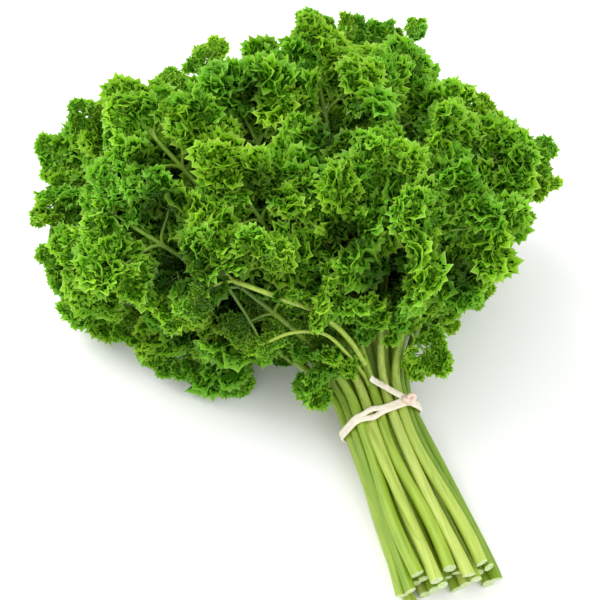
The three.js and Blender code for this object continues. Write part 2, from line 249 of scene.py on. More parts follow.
def color_ramp(nodes, stops):
    ramp = nodes.new("ShaderNodeValToRGB")
    ramp.color_ramp.elements[0].position = stops[0][0]
    ramp.color_ramp.elements[0].color = (*stops[0][1], 1)
    ramp.color_ramp.elements[1].position = stops[-1][0]
    ramp.color_ramp.elements[1].color = (*stops[-1][1], 1)
    for position, colour in stops[1:-1]:
        ramp.color_ramp.elements.new(position).color = (*colour, 1)
    return ramp


def attribute(nodes, name):
    node = nodes.new("ShaderNodeAttribute")
    node.attribute_name = name
    return node.outputs["Fac"]


stalk_skin, nodes, links = new_material("stalk_skin")
shader = nodes["Principled BSDF"]
place = nodes.new("ShaderNodeTexCoord")
stretch = nodes.new("ShaderNodeMapping")
stretch.inputs["Scale"].default_value = (900, 45, 900)
links.new(place.outputs["Object"], stretch.inputs["Vector"])
streaks = nodes.new("ShaderNodeTexNoise")
streaks.inputs["Scale"].default_value = 1
streaks.inputs["Detail"].default_value = 3
links.new(stretch.outputs["Vector"], streaks.inputs["Vector"])
greens = color_ramp(nodes, [(0.0, (0.17, 0.3, 0.005)), (0.45, (0.29, 0.42, 0.028)), (1.0, (0.43, 0.52, 0.1))])
links.new(attribute(nodes, "tone"), greens.inputs["Fac"])
grain = color_ramp(nodes, [(0.3, (0.74, 0.8, 0.62)), (0.5, (1, 1, 1)), (0.72, (1.16, 1.1, 1.3))])
links.new(streaks.outputs["Fac"], grain.inputs["Fac"])
ageing = color_ramp(nodes, [(0.0, (1, 1, 1)), (0.5, (0.93, 0.98, 0.85)), (1.0, (0.52, 0.76, 0.5))])
links.new(attribute(nodes, "tip"), ageing.inputs["Fac"])
tint = nodes.new("ShaderNodeMix")
tint.data_type = "RGBA"
tint.blend_type = "MULTIPLY"
tint.inputs["Factor"].default_value = 1
links.new(greens.outputs["Color"], tint.inputs[6])
links.new(ageing.outputs["Color"], tint.inputs[7])
streaked = nodes.new("ShaderNodeMix")
streaked.data_type = "RGBA"
streaked.blend_type = "MULTIPLY"
streaked.inputs["Factor"].default_value = 1
links.new(tint.outputs[2], streaked.inputs[6])
links.new(grain.outputs["Color"], streaked.inputs[7])
# painted shade: midribs, branches and twigs darker inside the bunch and round the hollows
shade = color_ramp(nodes, [(0.0, (1, 1, 1)), (1.0, (0.4, 0.45, 0.45))])
links.new(attribute(nodes, "deep"), shade.inputs["Fac"])
inner = nodes.new("ShaderNodeMix")
inner.data_type = "RGBA"
inner.blend_type = "MULTIPLY"
inner.inputs["Factor"].default_value = 1
links.new(streaked.outputs[2], inner.inputs[6])
links.new(shade.outputs["Color"], inner.inputs[7])
links.new(inner.outputs[2], shader.inputs["Base Color"])
bump = nodes.new("ShaderNodeBump")
bump.inputs["Strength"].default_value = 0.35
bump.inputs["Distance"].default_value = 0.0004
links.new(streaks.outputs["Fac"], bump.inputs["Height"])
links.new(bump.outputs["Normal"], shader.inputs["Normal"])
shader.inputs["Roughness"].default_value = 0.38

cut_face, nodes, links = new_material("cut_face")
shader = nodes["Principled BSDF"]
place = nodes.new("ShaderNodeTexCoord")
pith = nodes.new("ShaderNodeTexNoise")
pith.inputs["Scale"].default_value = 1400
links.new(place.outputs["Object"], pith.inputs["Vector"])
pale = color_ramp(nodes, [(0.3, (0.4, 0.52, 0.2)), (0.7, (0.6, 0.7, 0.38))])
links.new(pith.outputs["Fac"], pale.inputs["Fac"])
links.new(pale.outputs["Color"], shader.inputs["Base Color"])
shader.inputs["Roughness"].default_value = 0.5


def cut_end(ring, middle, inward):
    # a slightly swollen cut face inside the stalk's last ring, with a shallow dip in its middle
    sizes = [1.0, 0.93, 0.6, 0.25, 0.02]
    depths = [0, -0.3, -0.2, 0.1, 0.15]
    rings = [middle + (ring - middle) * size + inward * depth for size, depth in zip(sizes, depths)]
    points = np.concatenate(rings)
    points[:, 2] = np.maximum(points[:, 2], 0)
    faces, uv = grid_faces(len(ring), len(sizes) - 1, True)
    blank = np.zeros(len(points))
    return {
        "points": points,
        "faces": [faces[:, ::-1]],
        "uv": [uv[None, :, ::-1]],
        "tip": blank,
        "tone": blank,
        "deep": blank,
        "slot": 1,
    }


# A side shoot that leaves one of the top stalks near its cut end
SHOOT_STALK = 20
SHOOT_LINE = [
    (-1.2, -67, 18.2),
    (-2.4, -57, 20),
    (-4.4, -43, 21.6),
    (-6.1, -28, 22.6),
    (-7, -15, 22.6),
    (-7.3, -7, 21),
]
SHOOT_RADII = (2.0, 1.4)
SHOOT_SIDES = 16

stems = []
for row, count in enumerate(STALK_ROWS):
    for place_in_row in range(count):
        stems.append(lay_stem(row, place_in_row, len(stems)))

for stem in stems:
    t = np.linspace(0, 1, STALK_STEPS)
    fork = STALK_END[stem["row"]]
    line = np.concatenate([bezier(stem["lower"], t), bezier(stem["upper"], t[1:] * fork)])
    own = stream(BEND_SEED + stem["number"])
    arc = np.concatenate([t, np.zeros(STALK_STEPS - 1)])
    for sway in (np.array([1.0, 0, 0]), np.array([0, 0, 0.5])):
        bend = BEND * around(own) * np.sin(np.pi * arc) + 0.5 * BEND * around(own) * np.sin(2 * np.pi * arc)
        line = line + bend[:, None] * sway
    butt_radius = BUTT_RADIUS * stem["girth"]
    radii = np.concatenate([mix(butt_radius, TIE_RADIUS, t), mix(TIE_RADIUS, FORK_RADIUS, t[1:])])
    tone = TONES[stem["number"]]
    tips = np.concatenate([0.25 * t, mix(0.25, 0.6, t[1:])])
    body = tube(line, radii, STALK_SIDES, RIDGE_DEPTH, tone, tips)
    inward = heading(stem["lower"], 0)
    ring = body["points"][:STALK_SIDES]
    slope = np.array([around(own), 0, around(own)]) * CUT_SLOPE
    ring += ((ring - line[0]) @ slope)[:, None] * inward
    cut = cut_end(ring, line[0], inward)
    number = f"{stem['number'] + 1:02d}"
    parts = [body, cut]
    if stem["number"] == SHOOT_STALK:
        line = smooth_line(SHOOT_LINE, 6)
        radii = np.linspace(*SHOOT_RADII, len(line))
        parts.append(tube(line, radii, SHOOT_SIDES, RIDGE_DEPTH, 0.75, np.full(len(line), 0.1)))
    piece = make_piece(f"parsley_stalk_{number}", parts, [stalk_skin, cut_face])
    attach(piece, "root")
    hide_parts(f"stalk_{number}")

# Fronds
# Above its fork a stalk is a midrib, which side branches leave in pairs, each with a leaf of three leaflets.
# A leaflet is a tuft of short twigs, and each twig ends in a few thin fans with waved and toothed edges.
HEAD_CENTRE = np.array([-8, 82, 42])
HEAD_HALF = np.array([118, 94, 66])
PAIRS = [
    {"at": 0.32, "spread": 0.3, "longest": 22, "leaf": 16, "rows": [3], "places": [0, 1]},
    {"at": 0.42, "spread": 0.4, "longest": 22, "leaf": 16, "rows": [3], "places": [2, 3, 4]},
    {"at": 0.46, "spread": 0.5, "longest": 26, "leaf": 23, "rows": [0, 1, 2]},
    {"at": 0.63, "spread": 0.44, "longest": 25, "leaf": 23, "rows": [0, 1, 2, 3]},
    {"at": 0.82, "spread": 0.38, "longest": 21, "leaf": 23, "rows": [0, 1, 2, 3]},
]
END_LEAF = 22
# Inside this share of the head's half size leaves carry painted shade, standing for the shade of the others,
# more so further in
DEEP_FROM = 0.82
DEEP_RANGE = 0.4
RIB_END = 0.93
RIB_RADIUS = 0.9
RIB_STEPS = 21
RIB_SIDES = 12
BRANCH_RADII = (0.85, 0.55)
BRANCH_STEPS = 7
BRANCH_SIDES = 7
TWIG_RADIUS = 0.35
NECK = 1.2
# Where a side branch ends from the midrib, and how far a leaf rolls and its leaflets lift
BRANCH_AHEAD = 7
BRANCH_RISE = 6
BRANCH_JITTER = 3
LEAF_ROLL = 0.35
LEAFLET_LIFT = 0.25
LIFT_JITTER = 0.45
TEETH = 8
LEAFLET_TURN = math.radians(88)
FAN_SPREAD = math.radians(74)
FAN_RINGS = np.array([0.6, 1.0])
# How far each point of a fan's edge reaches: five pointed teeth, parted by notches
FAN_EDGE = np.array([0.7, 0.92, 0.76, 0.98, 0.74, 1.0, 0.74, 0.98, 0.76, 0.92, 0.7])
FAN_TEETH = 5
FAN_WAVE = 1.9
FAN_MIDDLES = np.array([0.3, 0.8])
TOOTH_STEPS = np.array([0, 0.5])
# Each twig of a leaflet: where it leaves the leaflet's own rib, its turn from that rib, its rise and its
# length. The last two stand up.
LEAFLET_RIB = 0.47
LEAFLET_TWIGS = np.array([
    [0.25, -74, 4, 0.32],
    [0.32, 74, 8, 0.32],
    [0.6, -56, -6, 0.28],
    [0.68, 56, -2, 0.28],
    [0.95, -28, 6, 0.22],
    [1.0, 24, -8, 0.22],
    [0.4, 20, 74, 0.12],
    [0.8, -20, 60, 0.12],
])
LEVEL_TWIGS = 6
SMALL_LEAF = 18
FANS_A_TWIG = 5
FAN_TURN = math.radians(42)
FAN_LENGTH = 0.33
# Small leaves low on the midribs, where the bunch would otherwise let the table show through
FILLERS = [
    {"rows": [0, 1, 2], "at": 0.73, "leaf": 17},
    {"rows": [1], "at": 0.92, "leaf": 17},
]
FILLER_BRANCH = 7
# Sprigs that round off the bunch: the stalk that each grows on, the place on its midrib, where its leaf
# begins and how large that leaf is
SPRIGS = [
    {"stem": 8, "at": 0.93, "tip": (-100, 121, 50), "leaf": 16},
    {"stem": 1, "at": 0.93, "tip": (-107, 95, 34), "leaf": 15},
    {"stem": 1, "at": 0.88, "tip": (-105, 83, 24), "leaf": 11},
    {"stem": 1, "at": 0.72, "tip": (-90, 66, 16), "leaf": 11},
    {"stem": 1, "at": 0.61, "tip": (-79, 54, 14), "leaf": 15},
    {"stem": 1, "at": 0.50, "tip": (-65, 45, 12), "leaf": 14},
    {"stem": 1, "at": 0.40, "tip": (-51, 34, 10), "leaf": 12},
    {"stem": 8, "at": 0.93, "tip": (-87, 134, 78), "leaf": 12},
    {"stem": 15, "at": 0.93, "tip": (-75, 135, 80), "leaf": 11},
    {"stem": 15, "at": 0.93, "tip": (-50, 134, 88), "leaf": 9},
    {"stem": 16, "at": 0.93, "tip": (-31, 142, 88), "leaf": 11},
    {"stem": 11, "at": 0.93, "tip": (18, 148, 80), "leaf": 14},
    {"stem": 11, "at": 0.93, "tip": (60, 139, 78), "leaf": 9},
    {"stem": 11, "at": 0.93, "tip": (50, 135, 74), "leaf": 12},
    {"stem": 13, "at": 0.93, "tip": (93, 79, 52), "leaf": 14},
    {"stem": 13, "at": 0.93, "tip": (93, 71, 44), "leaf": 12},
    {"stem": 13, "at": 0.79, "tip": (80, 62, 36), "leaf": 12},
    {"stem": 24, "at": 0.40, "tip": (24, 11, 34), "leaf": 15},
    {"stem": 13, "at": 0.49, "tip": (55, 37, 26), "leaf": 12},
    {"stem": 11, "at": 0.85, "tip": (29, 133, 40), "leaf": 17},
    {"stem": 10, "at": 0.84, "tip": (-14, 131, 40), "leaf": 17},
    {"stem": 12, "at": 0.93, "tip": (56, 118, 40), "leaf": 17},
    {"stem": 12, "at": 0.84, "tip": (62, 93, 40), "leaf": 16},
    {"stem": 9, "at": 0.93, "tip": (-60, 146, 40), "leaf": 16},
    {"stem": 11, "at": 0.89, "tip": (20, 145, 40), "leaf": 16},
    {"stem": 9, "at": 0.86, "tip": (-49, 127, 36), "leaf": 16},
    {"stem": 11, "at": 0.91, "tip": (50, 141, 40), "leaf": 16},
    {"stem": 4, "at": 0.93, "tip": (14, 159, 36), "leaf": 16},
    {"stem": 7, "at": 0.93, "tip": (-101, 110, 44), "leaf": 15},
    {"stem": 11, "at": 0.93, "tip": (31, 144, 80), "leaf": 14},
    {"stem": 11, "at": 0.93, "tip": (45, 139, 78), "leaf": 13},
    {"stem": 9, "at": 0.93, "tip": (-42, 146, 40), "leaf": 15},
    {"stem": 10, "at": 0.89, "tip": (-13, 140, 36), "leaf": 14},
    {"stem": 2, "at": 0.93, "tip": (-57, 136, 30), "leaf": 14},
    {"stem": 2, "at": 0.86, "tip": (-50, 126, 26), "leaf": 14},
    {"stem": 2, "at": 0.84, "tip": (-75, 108, 24), "leaf": 14},
    {"stem": 2, "at": 0.83, "tip": (-59, 112, 24), "leaf": 13},
    {"stem": 11, "at": 0.90, "tip": (24, 147, 36), "leaf": 14},
    {"stem": 8, "at": 0.92, "tip": (-68, 144, 40), "leaf": 14},
    {"stem": 2, "at": 0.69, "tip": (-51, 90, 14), "leaf": 14},
    {"stem": 1, "at": 0.57, "tip": (-47, 69, 16), "leaf": 14},
    {"stem": 1, "at": 0.44, "tip": (-35, 52, 20), "leaf": 12},
    {"stem": 8, "at": 0.93, "tip": (-100, 139, 50), "leaf": 14},
    {"stem": 8, "at": 0.91, "tip": (-109, 116, 42), "leaf": 14},
    {"stem": 1, "at": 0.93, "tip": (-113, 97, 34), "leaf": 13},
    {"stem": 11, "at": 0.86, "tip": (26, 134, 24), "leaf": 15},
    {"stem": 11, "at": 0.8, "tip": (22, 128, 34), "leaf": 15},
    {"stem": 21, "at": 0.5, "tip": (-18, 26, 74), "leaf": 18},
    {"stem": 21, "at": 0.4, "tip": (-7, 23, 67), "leaf": 17},
    {"stem": 8, "at": 0.2, "tip": (-23, 13, 30), "leaf": 15},
    {"stem": 14, "at": 0.2, "tip": (-14, 13, 38), "leaf": 14},
    {"stem": 20, "at": 0.5, "tip": (-31, 31, 56), "leaf": 10},
    {"stem": 20, "at": 0.55, "tip": (-40, 35, 64), "leaf": 10},
    {"stem": 20, "at": 0.45, "tip": (-26, 26, 48), "leaf": 10},
    {"stem": 20, "at": 0.4, "tip": (-19, 22, 41), "leaf": 10},
    {"stem": 15, "at": 0.28, "tip": (-24, 32, 30), "leaf": 12},
    {"stem": 20, "at": 0.93, "tip": (-43, 22, 56), "leaf": 9},
    {"stem": 20, "at": 0.93, "tip": (-62, 40, 78), "leaf": 8},
    {"stem": 20, "at": 0.93, "tip": (-51, 48, 84), "leaf": 9},
]
SPRIG_REACH = 60
# Bare stems that show in the hollow at the front
BARE_STEMS = [
    {
        "stem": 20,
        "thick": 0.82,
        "line": [(-1, 6, 22), (-3, 10, 30), (-11, 12, 51), (-19, 16, 63), (-31, 20, 63), (-43, 22, 56)],
    },
    {
        "stem": 20,
        "thick": 1.2,
        "line": [(-3, 10, 40), (-9, 16, 55), (-19, 23, 68), (-30, 27, 76), (-43, 35, 80), (-49, 40, 80)],
    },
    {"stem": 20, "thick": 0.75, "line": [(-49, 40, 80), (-55, 40, 80), (-62, 40, 78)]},
    {"stem": 20, "thick": 0.75, "line": [(-49, 40, 80), (-51, 44, 82), (-51, 48, 84)]},
]
# Young leaves, smaller than the others: the stalk, the leaf on it and its share of the full size
YOUNG = {
    (1, 6): 0.8,
    (6, 1): 0.6,
    (7, 5): 0.85,
    (13, 1): 0.8,
    (13, 2): 0.6,
    (13, 3): 0.65,
    (13, 4): 0.7,
    (13, 6): 0.85,
    (14, 1): 0.45,
    (14, 2): 0.45,
    (14, 3): 0.5,
    (19, 0): 0.85,
    (19, 2): 0.75,
    (20, 1): 0.8,
    (20, 3): 0.45,
    (20, 4): 0.45,
    (20, 5): 0.5,
    (20, 6): 0.75,
    (21, 1): 0.5,
    (21, 3): 0.45,
    (24, 2): 0.8,
    (24, 4): 0.8,
}
# Hollows between the leaves: where each lies, how far round it no leaf grows and how far round it the leaves
# carry painted shade.
# They all open upwards and towards the stalks.
HOLLOWS = [
    {"spot": (-67, 80, 78), "bare": 7, "dark": 13},
    {"spot": (-66, 60, 66), "bare": 9, "dark": 16},
    {"spot": (-26, 77, 84), "bare": 5, "dark": 8},
    {"spot": (6, 90, 86), "bare": 6, "dark": 11},
    {"spot": (-1, 45, 82), "bare": 6, "dark": 11},
    {"spot": (8, 27, 78), "bare": 6, "dark": 11},
    {"spot": (43, 35, 48), "bare": 6, "dark": 11},
    {"spot": (-46, 44, 56), "bare": 6, "dark": 22},
    {"spot": (-19, 118, 88), "bare": 4, "dark": 8},
    {"spot": (-68, 102, 84), "bare": 4, "dark": 7},
]
HOLLOW_LEAN = np.array([-0.142, -0.479, 0.866])
# Each reaches this far up and down from its spot, and leaves lower than the floor stay
HOLLOW_DEPTH = 30
HOLLOW_FLOOR = 32


def in_hollow(points, reach):
    # how far inside a hollow each point lies: 1 on its axis, 0 and less outside its "bare" or "dark" radius
    share = np.zeros(points.shape[:-1])
    for hollow in HOLLOWS:
        apart = points - hollow["spot"]
        along = apart @ HOLLOW_LEAN
        off = np.linalg.norm(apart - along[..., None] * HOLLOW_LEAN, axis=-1)
        share = np.maximum(share, np.where(np.abs(along) < HOLLOW_DEPTH, 1 - off / hollow[reach], 0))
    return share


def painted_shade_amount(points):
    # how much painted shade each point gets: 0 on the outside of the bunch, 1 well inside it or round a
    # hollow
    inset = np.linalg.norm((points - HEAD_CENTRE) / HEAD_HALF, axis=-1)
    deep = np.clip((DEEP_FROM - inset) / DEEP_RANGE, 0, 1)
    return np.maximum(deep, np.clip(2 * in_hollow(points, "dark"), 0, 1))


def outward(points):
    # the way out of the head from each point
    return unit((points - HEAD_CENTRE) / HEAD_HALF**2)


def grow_fans(base, ahead, across, length, shade, draws):
    # all the fans of a frond at once: a base point each and two rings of points, waved and pleated
    count = len(base)
    face = np.cross(ahead, across)
    columns = len(FAN_EDGE)
    p = np.append((np.arange(FAN_TEETH)[:, None] + TOOTH_STEPS).ravel(), FAN_TEETH)
    rings = len(FAN_RINGS)
    phase = draws.uniform(0, 2 * np.pi, (count, 1, 1))
    curl = draws.uniform(-0.6, 0.6, (count, 1, 1))
    wave = draws.uniform(0.3, 0.8, (count, 1, 1))
    pleat = draws.uniform(0.0, 0.3, (count, 1, 1))
    ragged = FAN_EDGE * draws.uniform(0.92, 1.06, (count, columns))
    swing = np.cos(np.pi * p[None, :, None] / FAN_WAVE + phase)
    folds = np.cos(2 * np.pi * p[None, :, None])
    rise = curl * FAN_MIDDLES + wave * swing * FAN_MIDDLES**0.8 + pleat * folds * FAN_MIDDLES**1.5
    angle = (2 * p / p[-1] - 1) * FAN_SPREAD
    sway = 0.15 * np.sin(np.pi * p[None, :, None] / FAN_WAVE + phase) * FAN_MIDDLES
    turn = angle[None, :, None] + sway
    reach = FAN_RINGS[None, None] * (1 + (ragged[..., None] - 1) * FAN_RINGS)
    reach = reach * (0.78 + 0.22 * np.cos(angle))[None, :, None]
    step = np.diff(reach, axis=-1, prepend=0)
    forward = (step * np.cos(rise) * np.cos(turn))[..., None] * ahead[:, None, None]
    sideways = (step * np.cos(rise) * np.sin(turn))[..., None] * across[:, None, None]
    lifted = (step * np.sin(rise))[..., None] * face[:, None, None]
    blade = np.cumsum(forward + sideways + lifted, axis=2) * length[:, None, None, None]
    blade = (blade + base[:, None, None]).transpose(0, 2, 1, 3).reshape(count, -1, 3)
    points = np.concatenate([base[:, None], blade], axis=1)
    quads, quad_uv = grid_faces(columns - 1, rings - 1, False)
    quad_uv = quad_uv * [1, 0.6] + [0, 0.4]
    s = np.arange(columns - 1)
    wedges = np.stack([0 * s, s + 1, s + 2], -1)
    edge = s / (columns - 1)
    wedge_uv = np.stack([
        np.stack([0 * s + 0.5, 0 * s], -1),
        np.stack([edge, 0 * s + 0.4], -1),
        np.stack([edge + 1 / (columns - 1), 0 * s + 0.4], -1),
    ], 1)
    shift = np.arange(count)[:, None, None] * points.shape[1]
    # 0 at a fan's base, 1 at its rim; the leaf material paints shade towards the base and a highlight at the
    # rim
    tip = np.broadcast_to(np.append(0.0, np.repeat(FAN_RINGS, columns)), points.shape[:2])
    tone = np.broadcast_to((0.6 * shade + 0.4 * draws.uniform(0, 1, count))[:, None], tip.shape)
    points[..., 2] = np.maximum(points[..., 2], 0.2 + 0.5 * tip * tone)
    return {
        "points": points.reshape(-1, 3),
        "faces": [(wedges[None] + shift).reshape(-1, 3), (quads[None] + 1 + shift).reshape(-1, 4)],
        "uv": [np.broadcast_to(uv[None], (count, *uv.shape)) for uv in (wedge_uv, quad_uv)],
        "tip": tip.ravel(),
        "tone": tone.ravel(),
        "deep": painted_shade_amount(points).ravel(),
        "slot": 1,
    }


def grow_twigs(starts, ends, thick):
    # straight three-sided twigs
    along = unit(ends - starts)
    aside = unit(np.cross(along, UP + [0.01, 0.02, 0]))
    other = np.cross(along, aside)
    turn = 2 * np.pi * np.arange(3) / 3
    ring = (aside[:, None] * np.cos(turn)[:, None] + other[:, None] * np.sin(turn)[:, None]) * thick
    points = np.stack([starts[:, None] + ring, ends[:, None] + ring * 0.7], 1)
    points[..., 2] = np.maximum(points[..., 2], 0.1)
    faces, uv = grid_faces(3, 1, True)
    shift = 6 * np.arange(len(starts))[:, None, None]
    return {
        "points": points.reshape(-1, 3),
        "faces": [(faces[None] + shift).reshape(-1, 4)],
        "uv": [np.broadcast_to(uv[None], (len(starts), *uv.shape))],
        "tip": np.full(6 * len(starts), 0.95),
        "tone": np.full(6 * len(starts), 0.4),
        "deep": painted_shade_amount(points).ravel(),
        "slot": 0,
    }


def leaf_fans(root, forward, side, face, lifts, size, draws, low=False):
    # the fans of one leaf and the twigs that carry them; a small or low leaf has no upright twigs
    fans, twigs = [], []
    kept = LEAFLET_TWIGS[:LEVEL_TWIGS] if low or size <= SMALL_LEAF else LEAFLET_TWIGS
    for leaflet, lift in zip((-1, 0, 1), lifts):
        turn = leaflet * LEAFLET_TURN + draws.uniform(-0.2, 0.2)
        span = size * draws.uniform(0.86, 1.12)
        flat = forward * math.cos(turn) + side * math.sin(turn)
        axis = flat * math.cos(lift) + face * math.sin(lift)
        wing = unit(np.cross(face, axis))
        top = np.cross(axis, wing)
        shares, turns, rises, lengths = kept.T
        count = len(kept)
        droop = draws.uniform(-0.1, 0.3) * span
        starts = root + axis * (shares * LEAFLET_RIB * span)[:, None] - top * (droop * shares**2)[:, None]
        a = np.radians(turns + draws.uniform(-12, 12, count))[:, None]
        e = np.radians(rises + draws.uniform(-22, 22, count))[:, None]
        level = axis * np.cos(a) + wing * np.sin(a)
        along = level * np.cos(e) + top * np.sin(e)
        ends = starts + along * (lengths * span * draws.uniform(0.75, 1.2, count))[:, None]
        ribs = root + axis * (shares.max() * LEAFLET_RIB * span) - top * droop
        twigs.append((np.concatenate([starts, root[None]]), np.concatenate([ends, ribs[None]])))
        aside = unit(np.cross(top + 0.05 * axis, along))
        other = np.cross(along, aside)
        roll = np.radians(draws.uniform(-35, 35, count))[:, None]
        aside, other = (
            aside * np.cos(roll) + other * np.sin(roll),
            other * np.cos(roll) - aside * np.sin(roll),
        )
        tone = draws.uniform(0, 1)
        for fan in range(FANS_A_TWIG):
            b = ((fan - (FANS_A_TWIG - 1) / 2) * FAN_TURN + draws.uniform(-0.25, 0.25, count))[:, None]
            c = draws.uniform(-0.2, 0.45, count)[:, None]
            flat_way = along * np.cos(b) + aside * np.sin(b)
            way = flat_way * np.cos(c) + other * np.sin(c)
            across = unit(np.cross(other, flat_way))
            tilt = draws.uniform(-0.45, 0.45, count)[:, None]
            across = across * np.cos(tilt) + np.cross(way, across) * np.sin(tilt)
            length = FAN_LENGTH * span * draws.uniform(0.75, 1.2, count)
            back = draws.uniform(0, 2.4, count)[:, None]
            fans.append((ends - along * back, way, across, length, np.full(count, tone)))
    return fans, twigs


def grow_branch(corners):
    s = np.linspace(0, 1, BRANCH_STEPS)
    branch = tube(bezier(corners, s), mix(*BRANCH_RADII, s), BRANCH_SIDES, 0, 0.5, mix(0.75, 0.95, s))
    branch["deep"] = painted_shade_amount(branch["points"])
    return branch


leaf_blade, nodes, links = new_material("leaf_blade")
shader = nodes["Principled BSDF"]
place = nodes.new("ShaderNodeTexCoord")
patches = nodes.new("ShaderNodeTexNoise")
patches.inputs["Scale"].default_value = 60
patches.inputs["Detail"].default_value = 4
links.new(place.outputs["Object"], patches.inputs["Vector"])
# painted shade and highlight: each fan's green darkens towards its base, inside the tuft, and lightens
# towards its toothed rim
cool = color_ramp(nodes, [
    (0.0, (0.033, 0.165, 0.002)),
    (0.5, (0.105, 0.385, 0.005)),
    (0.85, (0.165, 0.49, 0.012)),
    (1.0, (0.3, 0.58, 0.085)),
])
warm = color_ramp(nodes, [
    (0.0, (0.066, 0.22, 0.002)),
    (0.5, (0.19, 0.48, 0.004)),
    (0.85, (0.29, 0.58, 0.01)),
    (1.0, (0.47, 0.68, 0.085)),
])
links.new(attribute(nodes, "tip"), cool.inputs["Fac"])
links.new(attribute(nodes, "tip"), warm.inputs["Fac"])
regions = nodes.new("ShaderNodeTexNoise")
regions.inputs["Scale"].default_value = 22
regions.inputs["Detail"].default_value = 1
links.new(place.outputs["Object"], regions.inputs["Vector"])
both = nodes.new("ShaderNodeMath")
both.operation = "ADD"
links.new(regions.outputs["Fac"], both.inputs[0])
links.new(attribute(nodes, "tone"), both.inputs[1])
choose = nodes.new("ShaderNodeMapRange")
choose.inputs["From Min"].default_value = 0.65
choose.inputs["From Max"].default_value = 1.35
links.new(both.outputs["Value"], choose.inputs["Value"])
hue = nodes.new("ShaderNodeMix")
hue.data_type = "RGBA"
links.new(choose.outputs["Result"], hue.inputs["Factor"])
links.new(cool.outputs["Color"], hue.inputs[6])
links.new(warm.outputs["Color"], hue.inputs[7])
cloud = color_ramp(nodes, [(0.3, (0.75, 0.8, 0.7)), (0.7, (1.15, 1.1, 1.2))])
links.new(patches.outputs["Fac"], cloud.inputs["Fac"])
tint = nodes.new("ShaderNodeMix")
tint.data_type = "RGBA"
tint.blend_type = "MULTIPLY"
tint.inputs["Factor"].default_value = 1
links.new(hue.outputs[2], tint.inputs[6])
links.new(cloud.outputs["Color"], tint.inputs[7])
# painted light and shade: leaves on the outside of the bunch lightened, those inside it and round the hollows
# darkened
shade = color_ramp(nodes, [(0.0, (1.16, 1.16, 1.2)), (1.0, (0.38, 0.46, 0.42))])
links.new(attribute(nodes, "deep"), shade.inputs["Fac"])
inner = nodes.new("ShaderNodeMix")
inner.data_type = "RGBA"
inner.blend_type = "MULTIPLY"
inner.inputs["Factor"].default_value = 1
links.new(tint.outputs[2], inner.inputs[6])
links.new(shade.outputs["Color"], inner.inputs[7])
links.new(inner.outputs[2], shader.inputs["Base Color"])
shader.inputs["Roughness"].default_value = 0.5
shader.inputs["Specular IOR Level"].default_value = 0.3
glow = nodes.new("ShaderNodeBsdfTranslucent")
links.new(inner.outputs[2], glow.inputs["Color"])
blend = nodes.new("ShaderNodeMixShader")
blend.inputs["Fac"].default_value = 0.4
links.new(shader.outputs["BSDF"], blend.inputs[1])
links.new(glow.outputs["BSDF"], blend.inputs[2])
links.new(blend.outputs["Shader"], nodes["Material Output"].inputs["Surface"])

